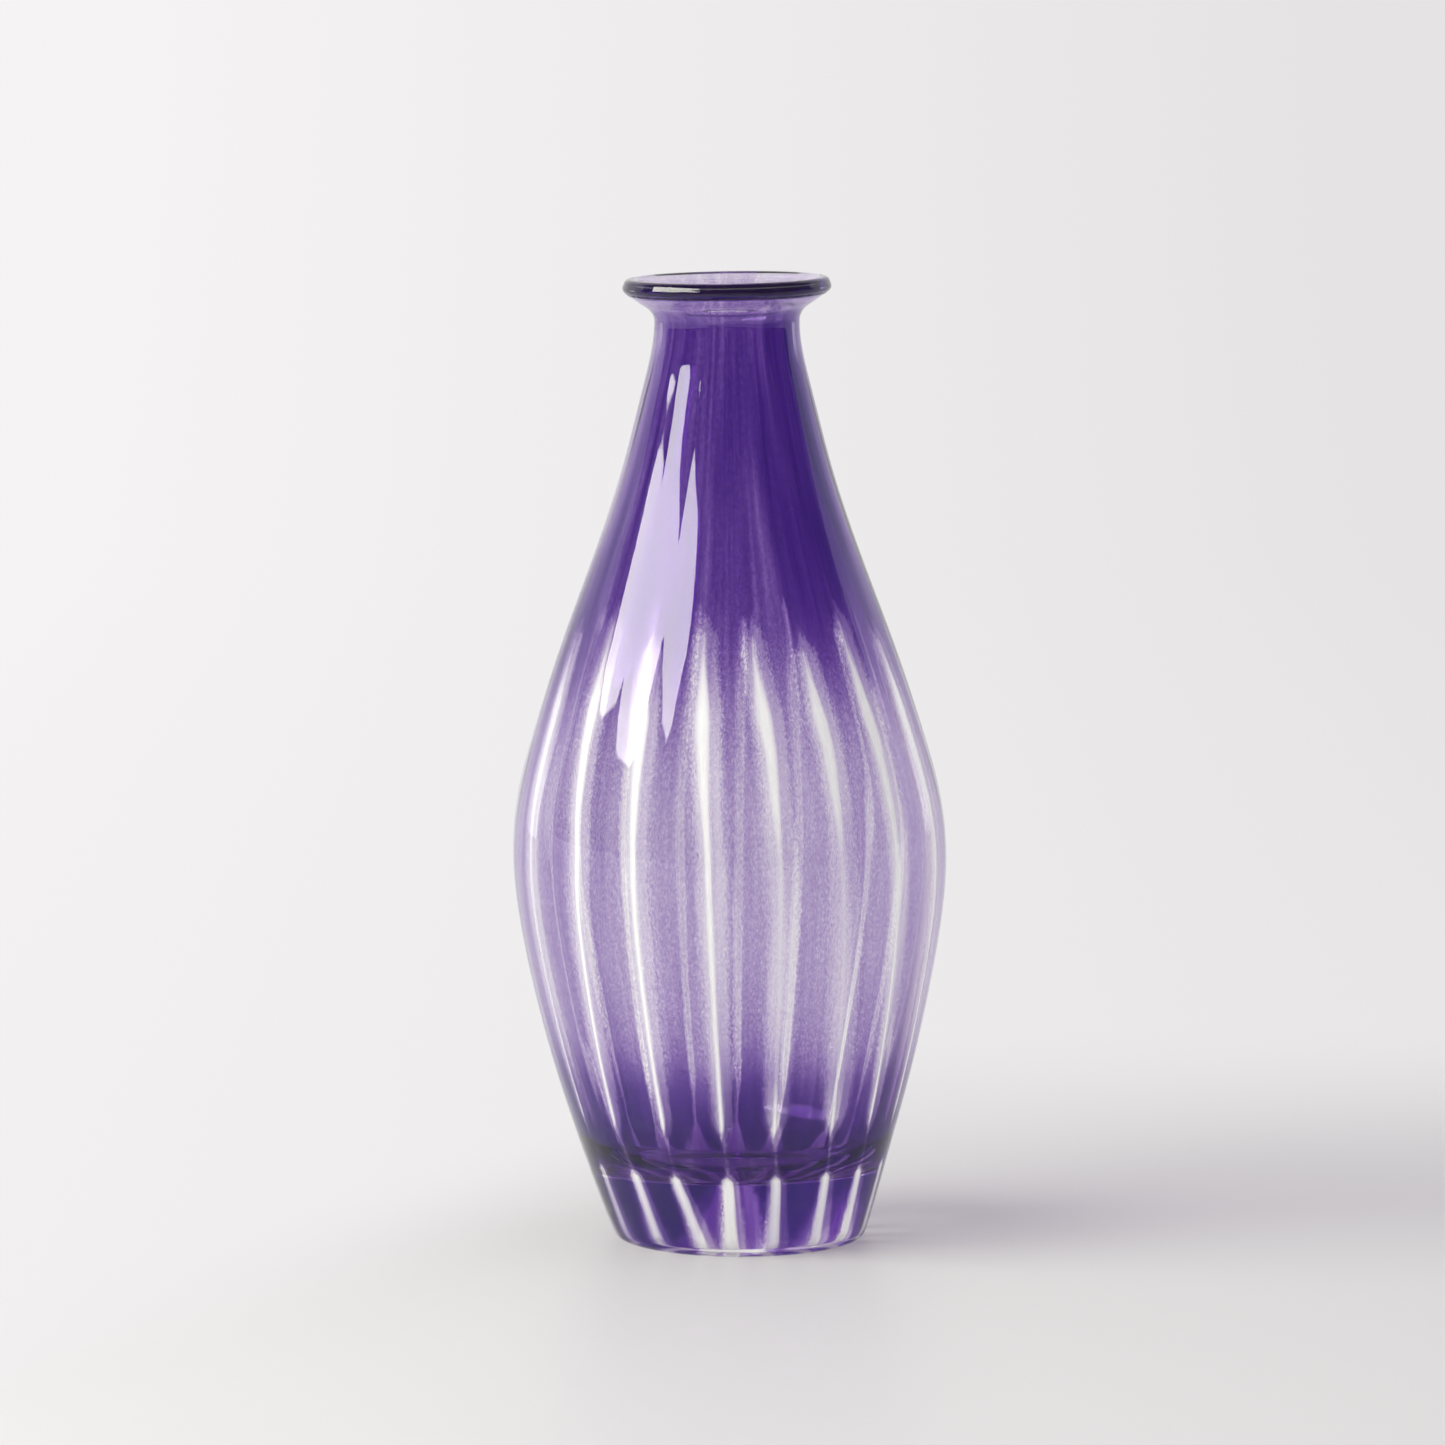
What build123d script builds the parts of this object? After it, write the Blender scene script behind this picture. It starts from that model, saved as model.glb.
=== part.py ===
from build123d import *
import math
import os

# A free-blown cased glass vase: a thick-bottomed clear inner bottle, a thin violet layer laid on it as a
# neck collar and a ring of long stripes, and a clear outer coat over everything.
# All lengths are in millimetres and all angles in degrees. The origin is the middle of the foot, +Z is up.

# Overall form
height = 215.0
belly_radius = 48.3
belly_height = 85.5
neck_radius = 16.1
lip_radius = 23.2

# Foot
heel_radius = 28.4
heel_round = 2.6
heel_lean_angle = 20.0
kick_radius = 19.0
kick_depth = 1.2

# Lip: a flare off the neck, a short straight reach and a round bead
bead_radius = 1.8
flare_radius = 4.2
flare_angle = 55.0

# Hollow
floor_height = 17.0
floor_corner_radius = 4.0
belly_wall = 4.6
foot_wall = 6.0

# Clear outer coat
coat_at_foot = 2.6
coat_at_belly = 2.7
coat_at_neck = 1.8
coat_under_foot = 2.2
gather_corner_radius = 3.4

# Violet layer
violet_thickness = 0.5
violet_cover_at_lip = 1.5
pontil_radius = 13.0
stripe_count = 18
first_gap_angle = 3.0
stripe_lean_angle = 1.8

# Clear gaps between the stripes, each a long flame with its tip up. The gap_shoulder_drop is how far below its
# tip a gap is widest, and the collar_drop how far below the lowest tip the collar gives way to the stripes.
gap_tip_height = 135.0
gap_tip_wander = 4.0
gap_shoulder_drop = 21.0
collar_drop = 7.0
gap_shoulder_width = 2.8
gap_belly_width = 2.6
gap_waist_width = 1.6
gap_foot_width = 3.2
gap_waist_height = 26.0

# One length by which every cutting tool runs past what it cuts
overrun = 5.0

# The side's outline between heel and belly, and between belly and neck:
# (share of the height between them, share of the radius gained or lost between them)
lower_side_shares = [(0.20, 0.276), (0.42, 0.555), (0.65, 0.792), (0.84, 0.940)]
upper_side_shares = [(0.12, 0.040), (0.24, 0.157), (0.39, 0.338), (0.55, 0.557), (0.72, 0.769), (0.88, 0.923)]

# How far round its own angle each gap's tip wanders up or down, as a share of one turn
tip_wander_turn_share = 0.38

wall_at_neck = 2 * bead_radius
bead_centre_radius = lip_radius - bead_radius
flare_out = flare_radius * (1 - math.cos(math.radians(flare_angle)))
flare_up = flare_radius * math.sin(math.radians(flare_angle))
reach_out = math.sin(math.radians(flare_angle))
reach_up = math.cos(math.radians(flare_angle))
bead_in = bead_radius * reach_up
reach_length = (bead_centre_radius + bead_in - neck_radius - flare_out) / reach_out
neck_height = height - bead_radius - bead_radius * reach_out - reach_length * reach_up - flare_up
gap_shoulder_height = gap_tip_height - gap_shoulder_drop
collar_bottom = gap_tip_height - gap_tip_wander - collar_drop


def side_points(low, belly, neck):
    """Points of the side from low to neck, each end and the belly given as (radius, height)."""
    points = [low]
    for up, out in lower_side_shares:
        points.append((low[0] + out * (belly[0] - low[0]), low[1] + up * (belly[1] - low[1])))
    points.append(belly)
    for up, drawn_in in upper_side_shares:
        points.append((belly[0] - drawn_in * (belly[0] - neck[0]), belly[1] + up * (neck[1] - belly[1])))
    points.append(neck)
    return points


def side(low, belly, neck, low_angle):
    """The smooth side curve. low_angle is how far it leans out at its low end, from upright."""
    lean = math.radians(low_angle)
    return Spline(side_points(low, belly, neck), tangents=[(math.sin(lean), math.cos(lean)), (0, 1)])


def flare(start, radius, reach):
    """The curve from the top of the neck out to the lip: an arc, then a straight reach."""
    bend = JernArc(start=start, tangent=(0, 1), radius=radius, arc_size=-flare_angle)
    return [bend, Line(bend @ 1, bend @ 1 + (bend % 1) * reach)]


def spin(section):
    """The solid of revolution about Z of a half section drawn as (radius, height)."""
    return revolve(Plane.XZ * section, Axis.Z)


def floored(section, level, corner_radius):
    """A half section cut off flat at level, with its outer corner there rounded."""
    below = Pos(0, level - height / 2) * Rectangle(4 * belly_radius, height)
    section = (section - below).face()
    corner = section.vertices().sort_by(Axis.Y)[:2].sort_by(Axis.X)[-1]
    return fillet(corner, corner_radius)


def outer_edges():
    """The outside of the vase, from the middle of its foot to the crest of its lip."""
    dome_radius = (kick_radius**2 + kick_depth**2) / (2 * kick_depth)
    dome_angle = math.degrees(math.asin(kick_radius / dome_radius))
    kick = JernArc(start=(0, kick_depth), tangent=(1, 0), radius=dome_radius, arc_size=-dome_angle)
    turn = 90 - heel_lean_angle
    ring_radius = heel_radius - heel_round * math.sin(math.radians(turn))
    ring = Line(kick @ 1, (ring_radius, 0))
    heel = JernArc(start=(ring_radius, 0), tangent=(1, 0), radius=heel_round, arc_size=turn)
    heel_top = heel @ 1
    wall = side(
        (heel_top.X, heel_top.Y),
        (belly_radius, belly_height),
        (neck_radius, neck_height),
        heel_lean_angle,
    )
    bend, reach = flare((neck_radius, neck_height), flare_radius, reach_length)
    bead = JernArc(start=reach @ 1, tangent=reach % 1, radius=bead_radius, arc_size=90 + flare_angle)
    return [kick, ring, heel, wall, bend, reach, bead]


def hollow_edges():
    """The inside of the vase, from the crest of its lip down to the middle of its floor."""
    crest = (bead_centre_radius, height)
    bead = JernArc(start=crest, tangent=(-1, 0), radius=bead_radius, arc_size=90 - flare_angle)
    reach = Line(bead @ 1, bead @ 1 + (bead % 1) * reach_length)
    throat = JernArc(
        start=reach @ 1,
        tangent=reach % 1,
        radius=flare_radius + wall_at_neck,
        arc_size=flare_angle,
    )
    foot_inner_radius = heel_radius - foot_wall
    wall = side(
        (foot_inner_radius, 0),
        (belly_radius - belly_wall, belly_height),
        (neck_radius - wall_at_neck, neck_height),
        heel_lean_angle,
    )
    return [bead, reach, throat, wall, Line(wall @ 0, (0, 0))]


def whole_glass():
    """All the glass of the vase in one solid, with its hollow."""
    edges = outer_edges()
    top = edges[-1] @ 1
    outside = make_face(edges + [Line(top, (0, height)), Line((0, height), (0, kick_depth))])
    inner = hollow_edges()
    mouth = inner[0] @ 0
    hollow = make_face(inner + [Line((0, 0), (0, height)), Line((0, height), mouth)])
    return spin(outside - floored(hollow, floor_height, floor_corner_radius))


def gather(depth_share):
    """The glass inside the violet layer, at a depth_share of 1, or with the violet layer added, at 0.
    Its top runs out past the lip and its middle is solid, so it serves as a cutting tool."""
    inset = depth_share * violet_thickness
    base = coat_under_foot + inset
    foot = heel_radius - coat_at_foot - inset
    neck = neck_radius - coat_at_neck - inset
    wall = side(
        (foot, 0),
        (belly_radius - coat_at_belly - inset, belly_height),
        (neck, neck_height),
        heel_lean_angle,
    )
    bend, reach = flare((neck, neck_height), flare_radius + coat_at_neck + inset, reach_length + height)
    top = reach @ 1
    across = Line(top, (0, top.Y))
    section = make_face([wall, bend, reach, across, Line(across @ 1, (0, 0)), Line((0, 0), wall @ 0)])
    return spin(floored(section, base, gather_corner_radius))


def gap_blade(index):
    """A radial blade that cuts one clear gap through the violet layer."""
    tip = gap_tip_height + gap_tip_wander * math.sin(2 * math.pi * tip_wander_turn_share * index)
    right = Spline(
        [
            (gap_foot_width / 2, -overrun),
            (gap_waist_width / 2, gap_waist_height),
            (gap_belly_width / 2, belly_height),
            (gap_shoulder_width / 2, gap_shoulder_height),
            (0, tip),
        ]
    )
    left = mirror(right, Plane.YZ)
    outline = make_face([right, left, Line(left @ 0, right @ 0)])
    blade = extrude(Plane.YZ * outline, belly_radius + overrun)
    leaned = Pos(0, 0, belly_height) * Rot(stripe_lean_angle, 0, 0) * Pos(0, 0, -belly_height) * blade
    return Rot(0, 0, first_gap_angle + index * 360 / stripe_count) * leaned


def violet_layer(inner, outer):
    """The violet layer, cut by its clear gaps and left off under the middle of the foot."""
    lip_limit = height - violet_cover_at_lip
    layer = outer - inner
    layer &= Pos(0, 0, lip_limit / 2) * Cylinder(belly_radius + overrun, lip_limit)
    layer -= Pos(0, 0, coat_under_foot) * Cylinder(pontil_radius, 2 * overrun)
    for index in range(stripe_count):
        layer -= gap_blade(index)
    return layer


def angle_of(solid):
    """The direction of a solid's middle round the Z axis, from 0 to 360 degrees."""
    middle = solid.center()
    return math.degrees(math.atan2(middle.Y, middle.X)) % 360


def main():
    os.makedirs("parts", exist_ok=True)
    glass = whole_glass()
    inner = gather(1)
    outer = gather(0)
    violet = violet_layer(inner, outer)
    above = Pos(0, 0, collar_bottom + height / 2) * Cylinder(belly_radius + overrun, height)
    pieces = {
        "clear_inner_bottle": glass & inner,
        "clear_outer_coat": glass - inner - violet,
        "violet_collar": violet & above,
    }
    stripes = sorted((violet - above).solids(), key=angle_of)
    for number, stripe in enumerate(stripes, 1):
        pieces[f"violet_stripe_{number:02d}"] = stripe
    for name, piece in pieces.items():
        export_step(piece, f"parts/{name}.step")
        print(name, len(piece.solids()), round(piece.volume, 1))


main()
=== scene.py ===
import math

import bmesh
import bpy
import numpy as np
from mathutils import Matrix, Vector


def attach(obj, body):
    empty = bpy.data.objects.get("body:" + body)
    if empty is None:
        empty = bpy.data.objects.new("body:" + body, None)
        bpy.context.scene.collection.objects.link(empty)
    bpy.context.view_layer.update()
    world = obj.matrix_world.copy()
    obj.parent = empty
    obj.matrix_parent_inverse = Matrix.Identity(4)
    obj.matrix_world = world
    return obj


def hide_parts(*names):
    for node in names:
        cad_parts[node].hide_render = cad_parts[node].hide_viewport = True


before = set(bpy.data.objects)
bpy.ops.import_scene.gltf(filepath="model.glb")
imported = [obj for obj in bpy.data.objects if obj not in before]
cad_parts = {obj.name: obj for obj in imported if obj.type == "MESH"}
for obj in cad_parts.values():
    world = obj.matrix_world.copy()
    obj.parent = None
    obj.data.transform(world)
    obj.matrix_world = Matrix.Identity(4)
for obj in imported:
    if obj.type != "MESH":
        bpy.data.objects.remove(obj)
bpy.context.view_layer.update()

# The vase's lengths are in millimetres, as its own driving sizes are, and become metres where a mesh is
# made. The studio's are in metres. Angles are in degrees. View angles are measured round the vase from the
# side that faces the camera, + to its right.
MM = 0.001

# The vase's sizes
height = 215.0
belly_radius = 48.3
belly_height = 85.5
neck_radius = 16.1
lip_radius = 23.2
heel_radius = 28.4
heel_round = 2.6
heel_lean_angle = 20.0
kick_radius = 19.0
kick_depth = 1.2
bead_radius = 1.8
flare_radius = 4.2
flare_angle = 55.0
floor_height = 17.0
floor_corner_radius = 12.0
belly_wall = 4.6
foot_wall = 6.0
coat_at_foot = 2.6
coat_at_belly = 2.7
coat_at_neck = 1.8
coat_under_foot = 2.2
gather_corner_radius = 3.4
bead_ring_radius = 1.1
pontil_radius = 13.0
stripe_count = 18
collar_bottom = 124.0
lower_side_shares = [(0.20, 0.276), (0.42, 0.555), (0.65, 0.792), (0.84, 0.940)]
upper_side_shares = [(0.12, 0.040), (0.24, 0.157), (0.39, 0.338), (0.55, 0.557), (0.72, 0.769), (0.88, 0.923)]

wall_at_neck = 2 * bead_radius
bead_centre_radius = lip_radius - bead_radius
flare_out = flare_radius * (1 - math.cos(math.radians(flare_angle)))
flare_up = flare_radius * math.sin(math.radians(flare_angle))
reach_way = np.array([math.sin(math.radians(flare_angle)), math.cos(math.radians(flare_angle))])
reach_length = (bead_centre_radius + bead_radius * reach_way[1] - neck_radius - flare_out) / reach_way[0]
neck_height = height - bead_radius - bead_radius * reach_way[0] - reach_length * reach_way[1] - flare_up

# How the blown glass strays from its plan: it leans from the belly, its lip dips on one side, the lip's
# bead is a little flat where its outer face looks up, and the walls ripple
lean_at_foot = 3.0
lean_fade_height = 60.0
lip_dip = 0.8
lip_dip_angle = 120.0
bead_flat = 0.20
bead_flat_at = 20.0
bead_flat_spread = 24.0
ripple = 0.03
ripple_inside = 1.6
ripple_at_lip = 0.15
ripple_begins = 1.0
ripple_whole = 13.0
# The ripple's waves: their share of it, how many go round, their twist with height, their start and their
# wobble
wall_waves = [
    (0.45, 18, 0.020, 0.0, 0.0),
    (0.30, 41, 0.031, 0.0, 1.7),
    (0.45, 5, 0.043, 0.6, 0.0),
    (0.35, 3, -0.027, 2.1, 0.0),
]
wobble_rate = 0.05

# The mesh: columns round the vase and rows along the curves
columns_per_stripe = 16
columns = stripe_count * columns_per_stripe
steps_per_span = 9
arc_steps = 8
row_spacing = 2.0
first_row = 8.0
# The violet layer is drawn as thin shells at its outer face, a slit apart. The slit between two stripes is
# twice a share of a stripe's width. A last row or column close to each slit keeps the smooth shading even
# up to it.
shell_thickness = 0.1
slit = 0.006
slit_share = 0.0003
rim_row = 0.02
rim_column_share = 3 * slit_share
# In the lip's bead the shell's two faces part into a ring, which opens and ends at these angles from their
# arrival
ring_opens = 10.0
ring_ends = 172.0


def arc(centre, radius, start, end, steps=arc_steps):
    """Points of an arc, from one angle to another: 0 points outward and 90 up."""
    turn = np.radians(np.linspace(start, end, steps + 1))
    return np.column_stack([centre[0] + radius * np.cos(turn), centre[1] + radius * np.sin(turn)])


def smooth_curve(points, start_way, end_way):
    """The smooth curve through (radius, height) points, with its directions at both ends given."""
    p = np.array(points, float)
    gap = np.linalg.norm(np.diff(p, axis=0), axis=1)
    count = len(p)
    system = np.eye(count)
    wanted = np.zeros((count, 2))
    wanted[0], wanted[-1] = start_way, end_way
    for i in range(1, count - 1):
        before, after = gap[i - 1], gap[i]
        system[i, i - 1], system[i, i], system[i, i + 1] = after, 2 * (before + after), before
        wanted[i] = 3 * (after * (p[i] - p[i - 1]) / before + before * (p[i + 1] - p[i]) / after)
    slope = np.linalg.solve(system, wanted)
    t = np.linspace(0, 1, steps_per_span, endpoint=False)[:, None]
    curve = []
    for i in range(count - 1):
        curve.append(
            (1 + 2 * t) * (1 - t) ** 2 * p[i]
            + t * (1 - t) ** 2 * gap[i] * slope[i]
            + t * t * (3 - 2 * t) * p[i + 1]
            + t * t * (t - 1) * gap[i] * slope[i + 1]
        )
    return np.vstack(curve + [p[-1:]])


def side(low, belly, neck):
    """The smooth side from low through the belly to the neck, each given as (radius, height)."""
    points = [low]
    for up, out in lower_side_shares:
        points.append((low[0] + out * (belly[0] - low[0]), low[1] + up * (belly[1] - low[1])))
    points.append(belly)
    for up, drawn_in in upper_side_shares:
        radius = belly[0] - drawn_in * (belly[0] - neck[0])
        points.append((radius, belly[1] + up * (neck[1] - belly[1])))
    points.append(neck)
    lean = math.radians(heel_lean_angle)
    return smooth_curve(points, (math.sin(lean), math.cos(lean)), (0, 1))


def floored(curve, level, corner):
    """A side curve cut off flat at level: the arc of its rounded corner, then the rest of the side."""
    way = np.gradient(curve, axis=0)
    way /= np.linalg.norm(way, axis=1)[:, None]
    centres = curve + corner * np.column_stack([-way[:, 1], way[:, 0]])
    centre_radius = np.interp(level + corner, centres[:, 1], centres[:, 0])
    first = int(np.searchsorted(centres[:, 1], level + corner))
    lean = math.degrees(math.atan2(way[first, 0], way[first, 1]))
    bend = arc((centre_radius, level + corner), corner, -90, -lean)
    return np.vstack([bend, curve[first:]])


def joined(parts):
    """Curves one after the other, less the points where they meet."""
    points = np.vstack(parts)
    step = np.linalg.norm(np.diff(points, axis=0), axis=1)
    return points[np.concatenate([[True], step > 1e-6])]


def glass_profile():
    """The whole outline of the clear glass as (radius, height), from under its foot round to its floor."""
    dome_radius = (kick_radius**2 + kick_depth**2) / (2 * kick_depth)
    dome_angle = math.degrees(math.asin(kick_radius / dome_radius))
    kick = arc((0, kick_depth - dome_radius), dome_radius, 90, 90 - dome_angle)
    ring_radius = heel_radius - heel_round * math.cos(math.radians(heel_lean_angle))
    heel = arc((ring_radius, heel_round), heel_round, -90, -heel_lean_angle)
    outside = side(heel[-1], (belly_radius, belly_height), (neck_radius, neck_height))
    flare_centre = (neck_radius + flare_radius, neck_height)
    flare = arc(flare_centre, flare_radius, 180, 180 - flare_angle)
    reach = flare[-1] + np.linspace(0, 1, arc_steps)[:, None] * reach_length * reach_way
    bead_centre = (bead_centre_radius, height - bead_radius)
    turn = np.linspace(-flare_angle, 180 - flare_angle, 4 * arc_steps + 1)
    girth = bead_radius - bead_flat * np.exp(-(((turn - bead_flat_at) / bead_flat_spread) ** 2))
    way = np.column_stack([np.cos(np.radians(turn)), np.sin(np.radians(turn))])
    bead = np.array(bead_centre) + girth[:, None] * way
    inner_reach = bead[-1] - np.linspace(0, 1, arc_steps)[:, None] * reach_length * reach_way
    throat = arc(flare_centre, flare_radius + wall_at_neck, 180 - flare_angle, 180)
    inside = side(
        (heel_radius - foot_wall, 0),
        (belly_radius - belly_wall, belly_height),
        (neck_radius - wall_at_neck, neck_height),
    )
    hollow = floored(inside, floor_height, floor_corner_radius)
    floor = np.column_stack([np.linspace(0, hollow[0, 0], arc_steps), np.full(arc_steps, floor_height)])
    return joined([kick, heel, outside, flare, reach, bead, inner_reach, throat, hollow[::-1], floor[::-1]])


def violet_rows():
    """The violet shells' outer and inner faces as rows of (radius, height): an array (2, rows, 2)."""
    faces = []
    levels = np.arange(first_row, neck_height - 1, row_spacing)
    bead_centre = (bead_centre_radius, height - bead_radius)
    arrival = 270 - flare_angle
    for inset, way in ((0.0, 1), (shell_thickness, -1)):
        base = coat_under_foot + inset
        neck = neck_radius - coat_at_neck - inset
        wall = side(
            (heel_radius - coat_at_foot - inset, 0),
            (belly_radius - coat_at_belly - inset, belly_height),
            (neck, neck_height),
        )
        body = floored(wall, base, gather_corner_radius)
        under_radii = np.linspace(pontil_radius, body[0, 0], arc_steps)
        under = np.column_stack([under_radii, np.full(arc_steps, base)])
        corner = body[: arc_steps + 1]
        up = np.column_stack([np.interp(levels, body[:, 1], body[:, 0]), levels])
        bend_radius = flare_radius + coat_at_neck + inset
        bend = arc((neck + bend_radius, neck_height), bend_radius, 180, 180 - flare_angle)
        ring_start, ring_end = arrival + way * ring_opens, arrival + way * ring_ends
        ring = arc(bead_centre, bead_ring_radius, ring_start, ring_end, 2 * arc_steps)
        reach = bend[-1] + np.linspace(0, 1, arc_steps, endpoint=False)[:, None] * (ring[0] - bend[-1])
        faces.append(np.vstack([under[:-1], corner, up, bend, reach[1:], ring]))
    return np.array(faces)


def strayed(radius, view, level):
    """Where the blown glass really is, in metres, for a point of the plan at a view angle."""
    lean = lean_at_foot * (np.exp(-level / lean_fade_height) - math.exp(-belly_height / lean_fade_height))
    up = np.clip((level - neck_height + flare_radius) / (height - neck_height), 0, 1)
    dip = lip_dip * 0.5 * (1 - np.cos(np.radians(view - lip_dip_angle))) * up
    turn = np.radians(view)
    x = radius * np.sin(turn) + lean
    y = -radius * np.cos(turn)
    return np.stack([x, y, level - dip], axis=-1) * MM


def rippled(radius, view, level, depth):
    """The slight unevenness of a blown wall: its radius, drawn in by up to twice depth."""
    turn = np.radians(view)
    total = sum(row[0] for row in wall_waves)
    wave = 0
    for share, count, twist, start, wobble in wall_waves:
        angle = count * turn + twist * level + start + wobble * np.sin(wobble_rate * level)
        wave = wave + share / total * np.sin(angle)
    fade = np.clip(radius / neck_radius, 0, 1)
    return radius - depth * fade * (1 + wave)


def new_mesh(name, points, faces):
    mesh = bpy.data.meshes.new(name)
    mesh.from_pydata([tuple(p) for p in points], [], faces)
    solid = bmesh.new()
    solid.from_mesh(mesh)
    bmesh.ops.recalc_face_normals(solid, faces=solid.faces)
    solid.to_mesh(mesh)
    solid.free()
    mesh.shade_smooth()
    piece = bpy.data.objects.new(name, mesh)
    bpy.context.scene.collection.objects.link(piece)
    return piece


def ring_faces(rows, wrap):
    """Quads between rows of wrap points each, closed round the vase."""
    faces = []
    for i in range(rows - 1):
        for j in range(wrap):
            k = (j + 1) % wrap
            faces.append((i * wrap + j, i * wrap + k, (i + 1) * wrap + k, (i + 1) * wrap + j))
    return faces


def make_glass():
    """The clear glass: one closed body with its hollow, standing for the coat and the inner bottle."""
    profile = glass_profile()
    inner = profile[1:-1]
    view = np.arange(columns) * 360 / columns
    radius = inner[:, :1]
    level = inner[:, 1:]
    crest = int(np.argmax(inner[:, 1]))
    on_foot = np.clip((level - ripple_begins) / (ripple_whole - ripple_begins), 0, 1)
    depth = ripple * on_foot * np.where(np.arange(len(inner)) > crest, ripple_inside, 1.0)[:, None]
    near_lip = np.clip((height - level) / (height - neck_height), ripple_at_lip, 1)
    view = np.broadcast_to(view, (len(inner), columns))
    uneven = rippled(radius, view, level, depth * near_lip)
    points = list(strayed(uneven, view, np.broadcast_to(level, view.shape)).reshape(-1, 3))
    rows = len(inner)
    faces = ring_faces(rows, columns)
    under, floor = rows * columns, rows * columns + 1
    points += [strayed(0.0, 0.0, profile[0, 1]), strayed(0.0, 0.0, profile[-1, 1])]
    last = (rows - 1) * columns
    for j in range(columns):
        k = (j + 1) % columns
        faces.append((under, k, j))
        faces.append((floor, last + j, last + k))
    return new_mesh("clear_glass", points, faces)


# Where each gap between two stripes runs: how far it strays from an even spacing, in degrees, at these
# heights. The gaps are counted from the front one, to -9 at its left and 8 at its right.
gap_levels = [4, 17, 28, 91, 114, 134]
first_gap_view = -7.0
common_drift = [4.4, 3.4, 1.7, 0.0, -1.3, -3.3]
own_drift = {
    -2: [6.5, 3.8, -0.1, 1.5, -1.4, -1.6],
    -1: [9.0, 2.9, 1.2, 0.0, -0.9, -1.9],
    0: [3.2, 3.7, 2.5, 1.1, -0.8, -1.8],
    1: [2.9, 2.9, 0.9, 0.6, -0.4, -3.9],
    2: [4.5, 4.5, 3.5, -1.4, -1.7, -5.3],
    3: [3.2, 2.7, 2.3, -1.6, -2.4, -5.5],
}
# The other gaps have the common drift, moved by this much
back_shift = {8: 5.3, -9: 4.0, -8: 2.2, -7: 1.9}
wander = 1.1
wander_turn = 2.4


def turn_of(index):
    """A gap's number counted from the front one, from -9 to 8."""
    return (index + stripe_count // 2) % stripe_count - stripe_count // 2


def gap_view(index, level):
    """The view angle of the middle of a gap at a height."""
    turn = turn_of(index)
    drift = own_drift.get(turn)
    if drift is None:
        drift = np.array(common_drift) + back_shift.get(turn, wander * math.sin(wander_turn * turn))
    return first_gap_view + index * 360 / stripe_count + np.interp(level, gap_levels, drift)


# Half the width of a gap's milky core and the width of the pale flank beside it, at these heights up to
# where its tip begins to close. The gaps at the back have cores of their own and flanks a share as wide.
gap_shape_levels = [3, 10, 17, 26, 45, 70, 95, 112, 124]
core_halves = [1.7, 1.45, 1.4, 0.6, 0.55, 0.6, 0.75, 1.3, 1.9]
flank_widths = [3.0, 2.6, 1.9, 2.2, 3.6, 4.2, 4.2, 4.0, 3.8]
back_halves = [2.2, 1.9, 1.0, 0.6, 0.6, 0.65, 0.65, 0.65, 0.6]
back_flank_shares = [0.7, 0.7, 0.5, 0.3, 0.2, 0.2, 0.22, 0.3, 0.3]
last_front_turns = (-3, 4)
least_core = 0.25
tip_begins = 120.0
tip_height = 136.5
tip_wander = 3.0
tip_wander_start = 0.5
tip_fade = 6.0
# How much of a front gap's core is clear of violet, and two gaps that are clear beyond it, by this much for
# each place that they are from the front
clear_share = 0.6
wide_turns = (1, 2)
wide_levels = [26, 36, 62, 80, 98]
wide_extras = [0, 0.6, 0.5, 0.3, 0]
# Just above the hollow's floor the violet runs together across the gaps
closed_levels = [18.5, 19.5, 25.5, 31.0]
closed_shares = [0, 0.85, 0.85, 0]
# How milky a gap's core is: the most at these places counted from the front, and the share of it at these
# heights. It ends past the tip. The gaps at the back have their own figures.
milky_turns = [-3, -2, 0, 2]
milky_most = [0.3, 0.55, 0.75, 0.85]
milky_levels = [4, 17, 30, 122]
milky_shares = [0.7, 0.9, 1, 1]
milky_wide_levels = [4, 17, 32, 42, 92, 104, 122]
milky_wide_shares = [0.7, 0.9, 1, 0.3, 0.3, 1, 1]
milky_back_levels = [4, 20, 122]
milky_back = [0.2, 0.1, 0.1]
milky_past_tip = 3.0


def at_back(index):
    first, last = last_front_turns
    return not first <= turn_of(index) <= last


def tip_level(index):
    return tip_height + tip_wander * math.sin(wander_turn * turn_of(index) + tip_wander_start)


def flank_width(index, level):
    width = np.interp(level, gap_shape_levels, flank_widths)
    if at_back(index):
        width = width * np.interp(level, gap_shape_levels, back_flank_shares)
    return width


def core_half(index, level):
    """Half the width of a gap's milky core at a height."""
    closing = np.clip((level - tip_begins) / (tip_level(index) - tip_begins), 0, 1)
    halves = back_halves if at_back(index) else core_halves
    return np.clip(np.interp(level, gap_shape_levels, halves) * (1 - closing), least_core, None)


def closed_share(level):
    return np.interp(level, closed_levels, closed_shares)


def clear_half(index, level):
    """Half the width that a gap has free of violet at a height, less than nothing where the gap is closed."""
    turn = turn_of(index)
    half = (1.0 if at_back(index) else clear_share) * core_half(index, level)
    if turn in wide_turns:
        half = half + turn * np.interp(level, wide_levels, wide_extras)
    beyond = np.clip((level - tip_level(index)) / tip_fade, 0, 2)
    half = half - beyond * np.interp(level, gap_shape_levels, flank_widths)
    return half - closed_share(level) * flank_width(index, level)


def milk(index, level):
    """How milky the core of a gap is at a height, from 0 to 1."""
    turn = turn_of(index)
    tip = tip_level(index)
    if at_back(index):
        return np.interp(level, milky_back_levels + [tip], milky_back + [0])
    most = np.interp(turn, milky_turns, milky_most) * (1 - closed_share(level))
    end = tip + milky_past_tip
    if turn in wide_turns:
        return most * np.interp(level, milky_wide_levels + [end], milky_wide_shares + [0])
    return most * np.interp(level, milky_levels + [end], milky_shares + [0])


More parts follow.
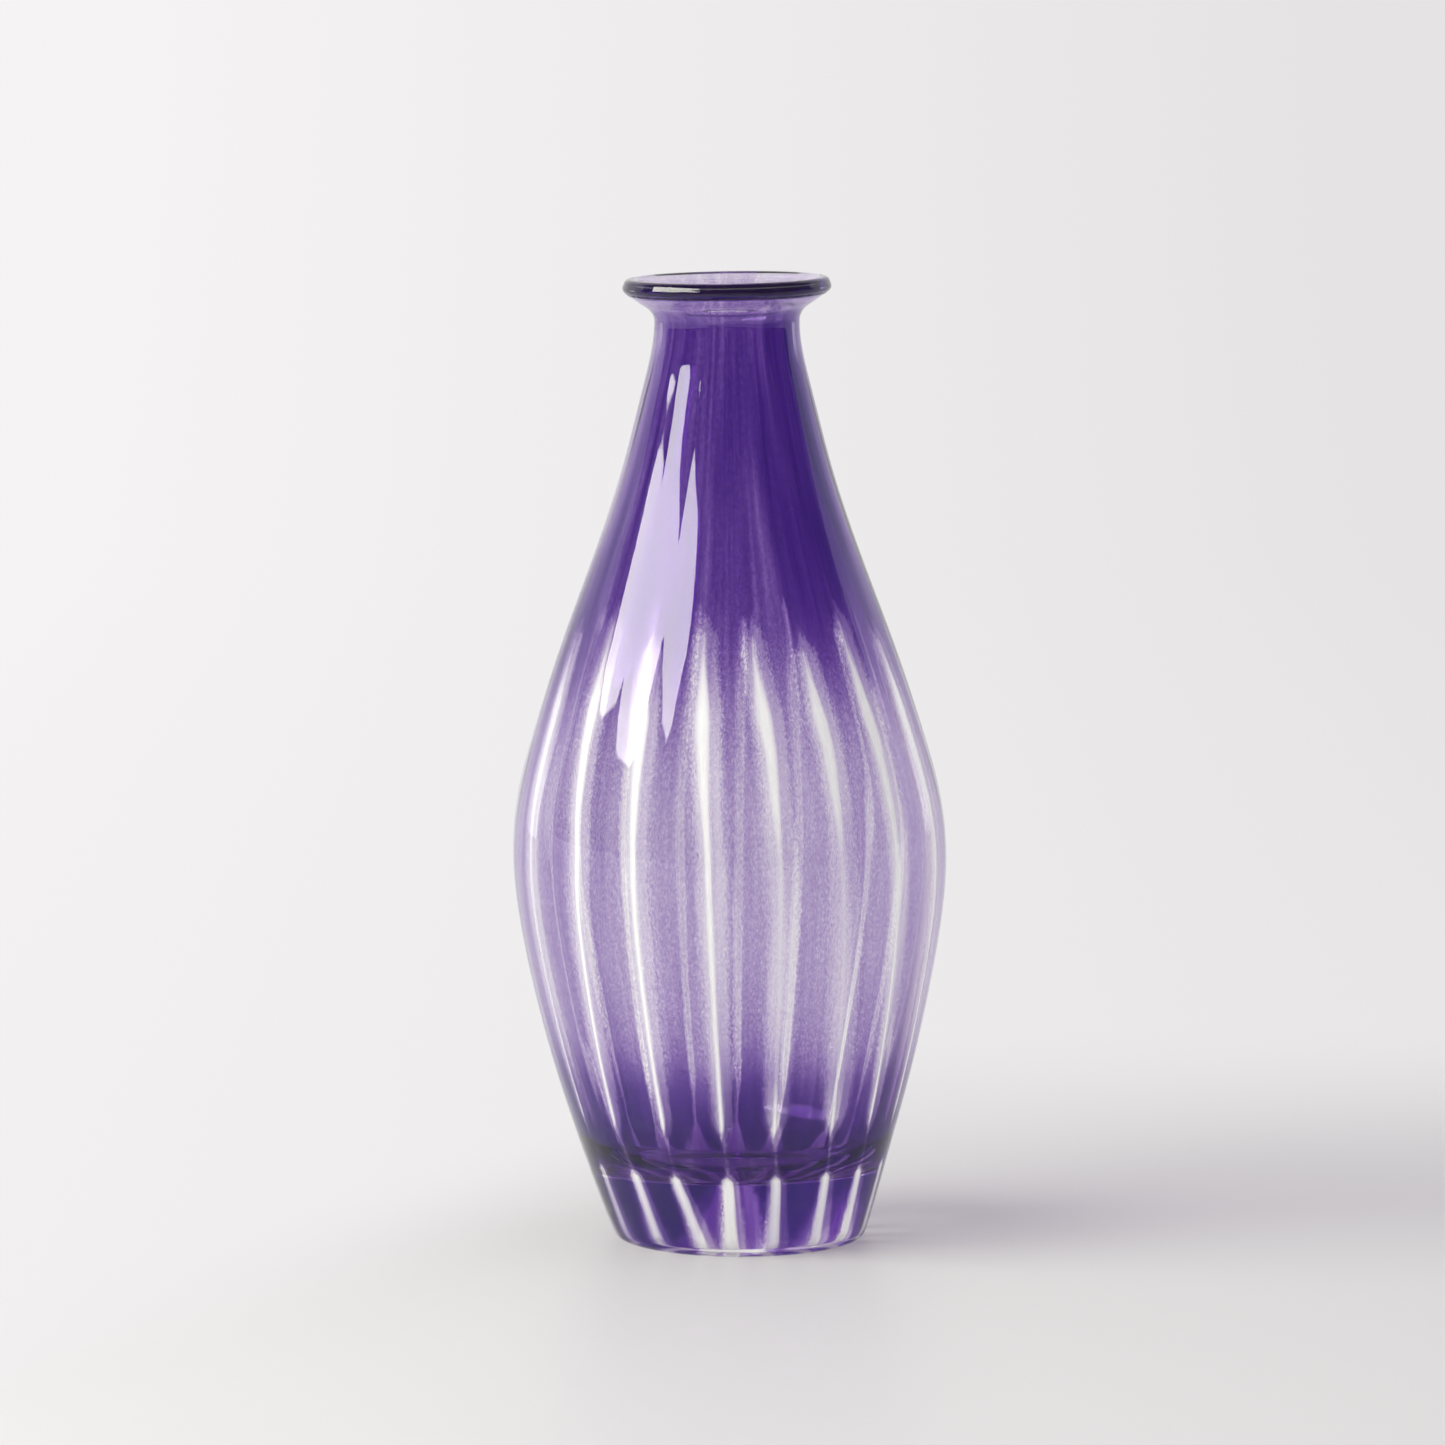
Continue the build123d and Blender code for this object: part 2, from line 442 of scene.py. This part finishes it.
# How much violet powder each wall holds at these heights
powder_levels = [3, 6, 16, 28, 38, 42, 47, 55, 66, 100, 112, 122, 131, 140, 150, 205, 205.8, 208, 210, 213]
powder_depths = [
    2.6, 3.5, 3.5, 2.8, 1.8, 1.15, 0.75, 0.6, 0.52, 0.48,
    0.58, 0.85, 1.35, 1.6, 1.68, 1.68, 1.25, 1.3, 0.85, 0.4,
]
# The back wall's dense foot ends lower down, by this much of it at these heights
back_rise = 8.0
back_rise_levels = [16, 24, 60, 80]
back_sharpness = 3.0
# The neck holds more at its right, round one view angle
neck_levels = [130, 160, 202, 210]
right_extra = 0.9
right_view = 65.0
right_reach = 48.0
right_fade = 25.0
# Along its two sides that face left and right it holds less, which paints in the pale reflected bands at the
# neck's edges: the share that is left, and the degrees each way over which it is so and ends
painted_pale_edge_share = 0.3
painted_pale_edge_from = 10.0
painted_pale_edge_to = 22.0
# The lip's bead is dense in front, from this height up, and the powder shows there as a dim violet of its
# own
bead_from = 212.0
bead_reach = 72.0
bead_fade = 18.0
bead_depth = 3.6
bead_cloud = 0.08


def off_front(view):
    """How many degrees a view angle is from the front, either way."""
    return np.abs((view + 180) % 360 - 180)


def in_bead(view, level):
    """1 in the dense front of the lip's bead and 0 away from it."""
    return (level > bead_from) * np.clip((bead_reach - off_front(view)) / bead_fade, 0, 1)


def powder_and_pale_edge_depth(view, level):
    """How much violet powder a wall holds, less on the neck's left and right sides as painted reflection."""
    back = np.clip(-np.cos(np.radians(view)) * back_sharpness, 0, 1)
    rise = back_rise * back * np.interp(level, back_rise_levels, [0, 1, 1, 0])
    depth = np.interp(level + rise, powder_levels, powder_depths)
    on_neck = np.interp(level, neck_levels, [0, 1, 1, 0])
    right = on_neck * np.clip((right_reach - np.abs(view - right_view)) / right_fade, 0, 1)
    # The neck's sides that face left and right get less powder: a painted reflection of the pale bands at its
    # edges
    off_side = np.abs(off_front(view) - 90)
    painted_pale_edge = on_neck * np.clip((painted_pale_edge_to - off_side) / (painted_pale_edge_to - painted_pale_edge_from), 0, 1)
    depth = depth * (1 + right_extra * right) * (1 - (1 - painted_pale_edge_share) * painted_pale_edge)
    return depth + bead_depth * in_bead(view, level)


def powder_data(spots, rows):
    """The view angles of a shell's points and what its powder is like at each, as grids of rows by columns.
    Spread is 0 at a gap's clear edge and 1 in the full violet, side is 1 right of a gap and -1 left of it, core
    is 0 in a gap's middle and 1 at the side of its milky core."""
    level = rows.mean(axis=0)[:, 1]
    columns_of = {"view": [], "spread": [], "side": [], "core": [], "milk": []}
    for index, s in spots:
        left, right = gap_view(index, level), gap_view(index + 1, level)
        nearest = index if s <= 0.5 else index + 1
        off = min(s, 1 - s) * np.radians(right - left) * rows[0, :, 0]
        half = clear_half(nearest, level)
        columns_of["view"].append(left + s * (right - left))
        columns_of["spread"].append((off - half) / flank_width(nearest, level))
        columns_of["side"].append(np.full(len(level), 1.0 if s <= 0.5 else -1.0))
        columns_of["core"].append(off / core_half(nearest, level))
        columns_of["milk"].append(milk(nearest, level))
    data = {key: np.array(columns).T for key, columns in columns_of.items()}
    views = data.pop("view")
    levels = np.broadcast_to(level[:, None], views.shape)
    data["powder"] = powder_and_pale_edge_depth(views, levels)
    data["cloud"] = bead_cloud * in_bead(views, levels)
    return views, data


def shell_faces(count, across, wrap):
    """The quads of a closed shell's two skins, each with count rows, and those of its rims."""
    grid = count * across
    last = across if wrap else across - 1
    skins = []
    for i in range(count - 1):
        for j in range(last):
            k = (j + 1) % across
            a, b = i * across + j, i * across + k
            c, d = b + across, a + across
            skins += [(a, b, c, d), (grid + d, grid + c, grid + b, grid + a)]
    edges = [(i * across + j, i * across + (j + 1) % across) for i in (0, count - 1) for j in range(last)]
    if not wrap:
        for j in (0, across - 1):
            edges += [(i * across + j, (i + 1) * across + j) for i in range(count - 1)]
    return skins, [(a, b, grid + b, grid + a) for a, b in edges]


def add_data(piece, key, values, kind="FLOAT", domain="POINT"):
    data = piece.data.attributes.new(key, kind, domain)
    field = "vector" if kind == "FLOAT_VECTOR" else "value"
    data.data.foreach_set(field, np.asarray(values, np.float32).reshape(-1))


def make_layer(name, rows, gaps, wrap):
    """A closed shell of violet glass from the first of gaps to the next after them. Its data are the same on
    its two skins, and edge is 1 on its rims."""
    share = np.arange(columns_per_stripe) / columns_per_stripe
    spots = [(index, s) for index in gaps for s in share]
    if not wrap:
        spots[:1] = [(gaps[0], slit_share), (gaps[0], rim_column_share)]
        spots += [(gaps[-1], 1 - rim_column_share), (gaps[-1], 1 - slit_share)]
    views, data = powder_data(spots, rows)
    skins = [strayed(face[:, :1], views, face[:, 1:]).reshape(-1, 3) for face in rows]
    skin_faces, rim_faces = shell_faces(*views.shape, wrap)
    piece = new_mesh(name, np.vstack(skins), skin_faces + rim_faces)
    for face in piece.data.polygons[len(skin_faces):]:
        face.use_smooth = False
    for key, values in data.items():
        add_data(piece, key, [values, values])
    middle = (skins[0] + skins[1]) / 2
    add_data(piece, "grain_at", [middle, middle], "FLOAT_VECTOR")
    drift = np.interp(rows.mean(axis=0)[:, 1], gap_levels, common_drift)[:, None]
    untwisted = np.radians(views - drift).reshape(-1)
    strand = np.column_stack([np.sin(untwisted), -np.cos(untwisted), middle[:, 2] / (belly_radius * MM)])
    add_data(piece, "strand_at", [strand, strand], "FLOAT_VECTOR")
    add_data(piece, "edge", [0] * len(skin_faces) + [1] * len(rim_faces), "FLOAT", "FACE")
    return piece


class Nodes:
    """The node tree of a material or a world, with short calls for the few kinds of node used here."""

    def __init__(self, owner):
        owner.use_nodes = True
        self.owner = owner
        self.tree = owner.node_tree
        self.shader = self.tree.nodes.get("Principled BSDF") or self.tree.nodes.get("Background")

    def node(self, kind, **inputs):
        made = self.tree.nodes.new(kind)
        for key, value in inputs.items():
            self.feed(made.inputs[key.replace("_", " ")], value)
        return made

    def colour(self, red, green, blue):
        return self.node("ShaderNodeCombineColor", Red=red, Green=green, Blue=blue).outputs["Color"]

    def feed(self, socket, value):
        if isinstance(value, bpy.types.NodeSocket):
            self.tree.links.new(value, socket)
        else:
            socket.default_value = value

    def data(self, key, vector=False):
        made = self.tree.nodes.new("ShaderNodeAttribute")
        made.attribute_name = key
        return made.outputs["Vector" if vector else "Fac"]

    def mixed(self, share, first, second):
        made = self.tree.nodes.new("ShaderNodeMixShader")
        for socket, value in zip(made.inputs, (share, first, second)):
            self.feed(socket, value)
        return made.outputs[0]

    def show(self, shader):
        self.tree.links.new(shader, self.tree.nodes["Material Output"].inputs["Surface"])

    def math(self, kind, *values):
        made = self.tree.nodes.new("ShaderNodeMath")
        made.operation = kind
        for socket, value in zip(made.inputs, values):
            self.feed(socket, value)
        return made.outputs[0]

    def stretched(self, at, scale):
        made = self.node("ShaderNodeMapping", Vector=at, Scale=scale)
        return made.outputs["Vector"]

    def noise(self, at, scale, detail=2.0, roughness=0.5):
        made = self.node("ShaderNodeTexNoise", Vector=at, Scale=scale, Detail=detail, Roughness=roughness)
        return made.outputs["Fac"]

    def ramp(self, value, low, high, to_low, to_high, smooth=False):
        made = self.tree.nodes.new("ShaderNodeMapRange")
        made.interpolation_type = "SMOOTHSTEP" if smooth else "LINEAR"
        keys = ("Value", "From Min", "From Max", "To Min", "To Max")
        for key, number in zip(keys, (value, low, high, to_low, to_high)):
            self.feed(made.inputs[key], number)
        return made.outputs[0]

    def product(self, *values):
        made = values[0]
        for value in values[1:]:
            made = self.math("MULTIPLY", made, value)
        return made


def let_light_by(m, colour):
    """Lets light on its way to other things straight through the glass, tinted, so that they are lit."""
    path = m.tree.nodes.new("ShaderNodeLightPath").outputs
    passing = m.math("MAXIMUM", path["Is Shadow Ray"], path["Is Diffuse Ray"])
    through = m.tree.nodes.new("ShaderNodeBsdfTransparent")
    m.feed(through.inputs["Color"], colour)
    m.show(m.mixed(passing, m.shader.outputs[0], through.outputs[0]))


# The scale of the clear glass's slight relief, per metre across the vase and up it, and its depth in metres
fine_relief = (900, 900, 250)
broad_relief = (110, 110, 30)
relief_depth = 0.00003


def clear_material():
    """Clear glass, a little uneven as fire-polished glass is."""
    m = Nodes(bpy.data.materials.new("clear_glass"))
    s = m.shader.inputs
    s["Base Color"].default_value = (0.985, 0.985, 0.99, 1)
    s["Transmission Weight"].default_value = 1.0
    s["Roughness"].default_value = 0.0
    s["IOR"].default_value = 1.5
    at = m.node("ShaderNodeTexCoord").outputs["Object"]
    fine = m.noise(m.stretched(at, fine_relief), 1.0)
    broad = m.noise(m.stretched(at, broad_relief), 1.0)
    relief = m.math("ADD", m.math("MULTIPLY", fine, 0.1), broad)
    bump = m.node("ShaderNodeBump", Height=relief, Distance=relief_depth, Strength=0.5)
    m.tree.links.new(bump.outputs["Normal"], s["Normal"])
    let_light_by(m, (0.95, 0.95, 0.955, 1))
    return m.owner


# How strongly a grain of the violet powder keeps back red, green and blue light
powder_strength = (0.768, 1.0, 0.468)
# The scale of the powder's grain, per metre across the vase and up it, and of the unevenness of its edges,
# its strands and its broad clouds, per belly radius
grain_scale = (2600, 2600, 1100)
edge_scale = (40, 40, 3)
strand_scale = (24, 24, 0.8)
cloud_scale = (5, 5, 0.9)
# How far the edge and the grain shift where the violet sets in, as shares of the pale flank
edge_shift = 0.08
grain_shift = 0.18
# The least and most powder that strands and clouds leave, as shares of it, and how much of it the grain
# adds or takes away, less in dense powder than in thin
strand_least, strand_most = 0.8, 1.2
cloud_least, cloud_most = 0.68, 1.32
thin_powder, dense_powder = 0.8, 2.6
grain_in_thin, grain_in_dense = 0.42, 0.08
# Right of a gap the violet sets in at once, to this much, and left of it softly
band_width, band_cover = 0.25, 0.35
steep_from = 0.6
# Where the milkiness of a gap's core ends, in halves of the core's width, and the least and most of it
# between the grains of the pale flank
core_fade = 1.7
haze_least, haze_most = 0.22, 0.42
# The least that the strands leave of the milkiness
streak_least = 0.88


def violet_material(name):
    """Clear glass with violet powder in it: dense grains and strands, thinned out to clear at the gaps."""
    m = Nodes(bpy.data.materials.new(name))
    s = m.shader.inputs
    s["Roughness"].default_value = 0.0
    s["IOR"].default_value = 1.0
    grain_at, strand_at = m.data("grain_at", True), m.data("strand_at", True)
    ragged = m.noise(m.stretched(strand_at, edge_scale), 1.0, 1.0)
    grain = m.noise(m.stretched(grain_at, grain_scale), 1.0, 2.0, 0.7)
    strands = m.noise(m.stretched(strand_at, strand_scale), 1.0, 1.5)
    clouds = m.noise(m.stretched(strand_at, cloud_scale), 1.0)
    spread = m.math("ADD", m.data("spread"), m.ramp(ragged, 0.3, 0.7, -edge_shift, edge_shift))
    grainy = m.math("ADD", spread, m.ramp(grain, 0.3, 0.7, -grain_shift, grain_shift))
    soft_side = m.ramp(grainy, 0.0, 1.0, 0.0, 1.0, True)
    pale_band = m.ramp(spread, 0.0, band_width, 0.0, band_cover, True)
    steep_side = m.math("ADD", pale_band, m.ramp(grainy, steep_from, 1.0, 0.0, 1 - band_cover, True))
    cover = m.ramp(m.data("side"), -0.3, 0.3, soft_side, steep_side)
    powder, on_skin = m.data("powder"), m.math("SUBTRACT", 1.0, m.data("edge"))
    least = m.ramp(powder, thin_powder, dense_powder, 1 - grain_in_thin, 1 - grain_in_dense)
    most = m.ramp(powder, thin_powder, dense_powder, 1 + grain_in_thin, 1 + grain_in_dense)
    depth = m.product(
        powder,
        cover,
        m.ramp(strands, 0.25, 0.75, strand_least, strand_most),
        m.ramp(clouds, 0.3, 0.7, cloud_least, cloud_most),
        m.ramp(grain, 0.3, 0.7, least, most),
        on_skin,
    )
    grains = m.math("SUBTRACT", 1.0, m.math("POWER", math.exp(-0.5), depth))
    kept = [m.math("SUBTRACT", 1.0, m.math("MULTIPLY", grains, strength)) for strength in powder_strength]
    m.tree.links.new(m.colour(*(m.math("MULTIPLY", k, k) for k in kept)), s["Base Color"])
    core = m.ramp(m.data("core"), 0.0, core_fade, 1.0, 0.0, True)
    haze = m.product(m.math("SUBTRACT", 1.0, cover), m.ramp(grain, 0.35, 0.65, haze_least, haze_most))
    streaks = m.ramp(strands, 0.3, 0.7, streak_least, 1.0)
    milky = m.product(m.data("milk"), m.math("MAXIMUM", core, haze), on_skin, streaks)
    milky = m.math("MAXIMUM", milky, m.data("cloud"))
    m.tree.links.new(m.math("SUBTRACT", 1.0, milky), s["Transmission Weight"])
    red, green, blue = kept
    green = m.math("ADD", m.math("MULTIPLY", green, 0.5), m.math("MULTIPLY", red, 0.5))
    blue = m.math("ADD", m.math("MULTIPLY", blue, 0.2), m.math("MULTIPLY", red, 0.8))
    let_light_by(m, m.colour(red, green, blue))
    return m.owner


# The studio's pale paper: its green and blue against its red, and its tone where the lamps light it
paper_tint = (1.0, 0.982, 0.991)
near_tint = (1.0, 0.984, 1.035)
paper_tone = 0.79
# Its tone far behind the vase at the left and the right of the picture, a painted falloff of the key lamp's light
# that is brighter at the left, and how far back that begins and is whole
far_painted_light_tones = (0.913, 0.785)
far_half_width = 0.29
far_begins, far_whole = 0.06, 0.30
# How far to the vase's left the glowing ground begins and is whole, and how much nearer that is for each metre
# towards the back. There it paints light over the shade that the vase leaves on the lit paper.
left_reach = (0.035, 0.12)
left_slope = 0.5
# How far the lit paper's tone swings either way
tone_swing = 0.008


def seen_share(m, *kinds):
    """1 for what the camera sees, straight or by way of these kinds of ray, and 0 for light that falls on
    things."""
    path = m.tree.nodes.new("ShaderNodeLightPath")
    share = path.outputs["Is Camera Ray"]
    for kind in kinds:
        share = m.math("MAXIMUM", share, path.outputs[kind])
    return share


def tinted(m, tone, tint=paper_tint):
    return m.colour(*(m.math("MULTIPLY", tone, share) for share in tint))


def floor_material():
    """Pale matt paper lit by the lamps near the vase, and a glowing pale ground behind it, painted lighter at the
    left.
    """
    m = Nodes(bpy.data.materials.new("studio_floor"))
    s = m.shader.inputs
    s["Roughness"].default_value = 0.45
    s["Specular IOR Level"].default_value = 0.3
    at = m.node("ShaderNodeTexCoord").outputs["Object"]
    split = m.node("ShaderNodeSeparateXYZ", Vector=at).outputs
    tone = m.ramp(m.noise(at, 1.2, 2.0), 0.3, 0.7, paper_tone - tone_swing, paper_tone + tone_swing)
    m.tree.links.new(tinted(m, tone, near_tint), s["Base Color"])
    ground = m.node("ShaderNodeEmission")
    far_painted_light_tone = m.ramp(split["X"], -far_half_width, far_half_width, *far_painted_light_tones)
    m.tree.links.new(tinted(m, far_painted_light_tone), ground.inputs["Color"])
    # Close in at the vase's left the glowing ground paints light over the shade the vase would leave on the paper
    leftward = m.math("SUBTRACT", m.math("MULTIPLY", split["Y"], left_slope), split["X"])
    behind = m.ramp(split["Y"], far_begins, far_whole, 0.0, 1.0, True)
    far = m.math("MAXIMUM", behind, m.ramp(leftward, *left_reach, 0.0, 1.0, True))
    seen = seen_share(m, "Is Glossy Ray", "Is Transmission Ray")
    m.show(m.mixed(m.math("MULTIPLY", far, seen), m.shader.outputs[0], ground.outputs[0]))
    return m.owner


def make_stage():
    """A pale sheet that lies under the vase and curves up behind it."""
    depth_front, depth_back, rise, bend, half_width = -2.6, 1.5, 2.6, 0.7, 6.0
    turn = np.linspace(0, math.pi / 2, 17)
    path = [(depth_front, 0.0)] + [(depth_back + bend * math.sin(t), bend * (1 - math.cos(t))) for t in turn]
    path.append((depth_back + bend, rise))
    points = [(x, y, z) for y, z in path for x in (-half_width, half_width)]
    faces = [(2 * i, 2 * i + 1, 2 * i + 3, 2 * i + 2) for i in range(len(path) - 1)]
    stage = new_mesh("studio_sheet", points, faces)
    stage.data.materials.append(floor_material())


# The lamps stand round a point inside the vase and face it. The key lamp is wide and its light a little
# yellow. The tall reflectors fade over this share of their length at each end.
lamp_aim = Vector((0, 0, 0.14))
lamp_distance = 1.5
key_size = (1.60, 0.56)
key_colour = (1.0, 1.0, 0.88)
strip_fade = 0.3


def lamp(name, azimuth, elevation, width, length, radiance):
    """A soft box that faces the vase. Azimuth is a view angle, and radiance how bright its face looks."""
    turn, up = math.radians(azimuth), math.radians(elevation)
    place = lamp_aim + lamp_distance * Vector(
        (math.sin(turn) * math.cos(up), -math.cos(turn) * math.cos(up), math.sin(up))
    )
    light = bpy.data.lights.new(name, "AREA")
    light.shape = "RECTANGLE"
    light.size, light.size_y = width, length
    light.energy = radiance * math.pi * width * length
    ob = bpy.data.objects.new(name, light)
    ob.location = place
    facing = (lamp_aim - place).to_track_quat("-Z", "Y")
    ob.rotation_euler = facing.to_euler()
    bpy.context.scene.collection.objects.link(ob)
    return ob, place, facing


# The key lamp's face is cut off below by flags, whose edge shows in its reflection on the neck: how far up
# the edge lies at places across the face, both as shares of its width and height from its lower left corner
flag_edge = [
    (0.0, 0.2), (0.06, 0.07), (0.13, 0.06), (0.22, 0.11), (0.27, 0.14), (0.30, 0.24), (0.33, 0.12),
    (0.37, 0.06), (0.42, 0.05), (0.575, 0.09), (0.615, 0.18), (0.65, 0.35), (0.70, 0.62), (0.76, 0.5),
    (0.82, 0.4), (0.88, 0.39), (0.92, 0.47), (0.96, 0.66), (1.0, 0.85),
]
flag_blur = 0.01


def face_shares(m, place, facing, width, length):
    """Where a point of a lamp's face lies across and up it, as shares of its width and height."""
    spot = m.node("ShaderNodeNewGeometry").outputs["Position"]
    across, up = facing @ Vector((1, 0, 0)), facing @ Vector((0, 1, 0))
    shares = []
    for way, size in ((across, width), (up, length)):
        along = m.tree.nodes.new("ShaderNodeVectorMath")
        along.operation = "DOT_PRODUCT"
        m.feed(along.inputs[0], spot)
        along.inputs[1].default_value = way
        offset = way.dot(place)
        shares.append(m.ramp(along.outputs["Value"], offset - size / 2, offset + size / 2, 0.0, 1.0))
    return shares


def flag(lamp_object, place, facing, width, length):
    """Darkens the part of a lamp's face that lies below flag_edge."""
    m = Nodes(lamp_object.data)
    shares = face_shares(m, place, facing, width, length)
    edge = m.tree.nodes.new("ShaderNodeFloatCurve")
    m.feed(edge.inputs["Value"], shares[0])
    line = edge.mapping.curves[0]
    while len(line.points) < len(flag_edge):
        line.points.new(0.5, 0.5)
    for point, (x, y) in zip(line.points, flag_edge):
        point.location = (x, y)
        point.handle_type = "VECTOR"
    edge.mapping.update()
    lit = m.ramp(m.math("SUBTRACT", shares[1], edge.outputs[0]), -flag_blur, flag_blur, 0.0, 1.0)
    m.feed(m.tree.nodes["Emission"].inputs["Strength"], lit)


def strip(name, azimuth, elevation, width, length, radiance, edges):
    """A tall reflector behind the vase, with its strength at its left and right edge, fading towards its ends.
    It shows in the glass only by reflection."""
    ob, place, facing = lamp(name, azimuth, elevation, width, length, radiance)
    ob.visible_transmission = False
    m = Nodes(ob.data)
    across, up = face_shares(m, place, facing, width, length)
    fade = m.ramp(across, 0.0, 1.0, *edges)
    bottom = m.ramp(up, 0.0, strip_fade, 0.0, 1.0, True)
    top = m.ramp(up, 1 - strip_fade, 1.0, 1.0, 0.0, True)
    m.feed(m.tree.nodes["Emission"].inputs["Strength"], m.math("MULTIPLY", fade, m.math("MULTIPLY", bottom, top)))


# The room: its tone where the glass mirrors it, from the dark camera side round to the pale back, and that
# side's tone where the glass passes it on. As light it is even, with more from a pale screen at the right.
# The reaches say between which directions each tone changes, as parts of a length of 1.
room_front = 0.20
room_through = 0.55
room_back = 0.88
back_reach = (0.2, 0.75)
room_light = 0.45
screen_light = 1.2
screen_reach = (0.0, 0.7)
screen_rise = (0.2, 0.6)


def make_light():
    key, place, facing = lamp("key_softbox", -64, 28.2, *key_size, 11.5)
    flag(key, place, facing, *key_size)
    key.data.color = key_colour
    strip("left_strip", -131, 0, 0.44, 0.46, 1.9, (0.0, 1.0))
    strip("right_strip", 133, 2, 0.34, 0.40, 1.9, (1.0, 0.0))
    world = bpy.data.worlds.new("studio")
    bpy.context.scene.world = world
    m = Nodes(world)
    way = m.node("ShaderNodeSeparateXYZ", Vector=m.node("ShaderNodeTexCoord").outputs["Generated"]).outputs
    path = m.tree.nodes.new("ShaderNodeLightPath").outputs
    front = m.ramp(path["Is Transmission Ray"], 0.0, 1.0, room_front, room_through)
    mirrored = m.ramp(way["Y"], *back_reach, front, room_back, True)
    low = m.ramp(m.math("ABSOLUTE", way["Z"]), *screen_rise, 1.0, 0.0, True)
    screen = m.math("MULTIPLY", m.ramp(way["X"], *screen_reach, 0.0, screen_light, True), low)
    seen = seen_share(m, "Is Glossy Ray", "Is Transmission Ray")
    tone = m.ramp(seen, 0.0, 1.0, m.math("ADD", screen, room_light), mirrored)
    m.tree.links.new(tinted(m, tone), m.shader.inputs["Color"])


def make_camera():
    """The photograph's view: from 1.6 m, slightly above the lip, through a long lens."""
    camera = bpy.data.cameras.new("camera")
    camera.sensor_width = 36.0
    camera.lens = 182.2
    camera.clip_end = 20.0
    ob = bpy.data.objects.new("camera", camera)
    ob.location = (-0.0016, -1.615, 0.305)
    ob.rotation_euler = (math.radians(90 - 6.687), 0, 0)
    bpy.context.scene.collection.objects.link(ob)
    bpy.context.scene.camera = ob


# The stripes are numbered from the +X side, and the gaps from the front
stripes_to_front = 4


def dress(piece, material, slot, *nodes):
    piece.data.materials.append(material)
    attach(piece, "root")
    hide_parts(*nodes)


def near_end(end, beside):
    """A row of points a rim_row away from an end row, towards the row beside it."""
    way = beside - end
    return end + rim_row * way / np.linalg.norm(way, axis=-1, keepdims=True)


def main():
    dress(make_glass(), clear_material(), "clear_coat_glass", "clear_outer_coat", "clear_inner_bottle")
    rows = violet_rows()
    split = int(np.argmin(np.abs(rows[0, :, 1] - collar_bottom)))
    collar_rows = np.insert(rows[:, split:], 1, near_end(rows[:, split], rows[:, split + 1]), axis=1)
    collar = make_layer("collar_glass", collar_rows, range(stripe_count), True)
    dress(collar, violet_material("collar_glass"), "violet_collar_glass", "violet_collar")
    stripe_glass = violet_material("stripe_glass")
    stripe_rows = rows[:, : split + 1].copy()
    stripe_rows[:, -1, 1] -= slit
    stripe_rows = np.insert(stripe_rows, split, near_end(stripe_rows[:, -1], stripe_rows[:, -2]), axis=1)
    for number in range(1, stripe_count + 1):
        stripe = make_layer(f"stripe_glass_{number:02d}", stripe_rows, [number + stripes_to_front], False)
        dress(stripe, stripe_glass, "violet_stripe_glass", f"violet_stripe_{number:02d}")
    make_stage()
    make_light()
    make_camera()
    scene = bpy.context.scene
    scene.view_settings.view_transform = "Standard"
    scene.cycles.max_bounces = 40
    scene.cycles.transmission_bounces = 40
    scene.cycles.glossy_bounces = 12
    scene.cycles.transparent_max_bounces = 40


main()
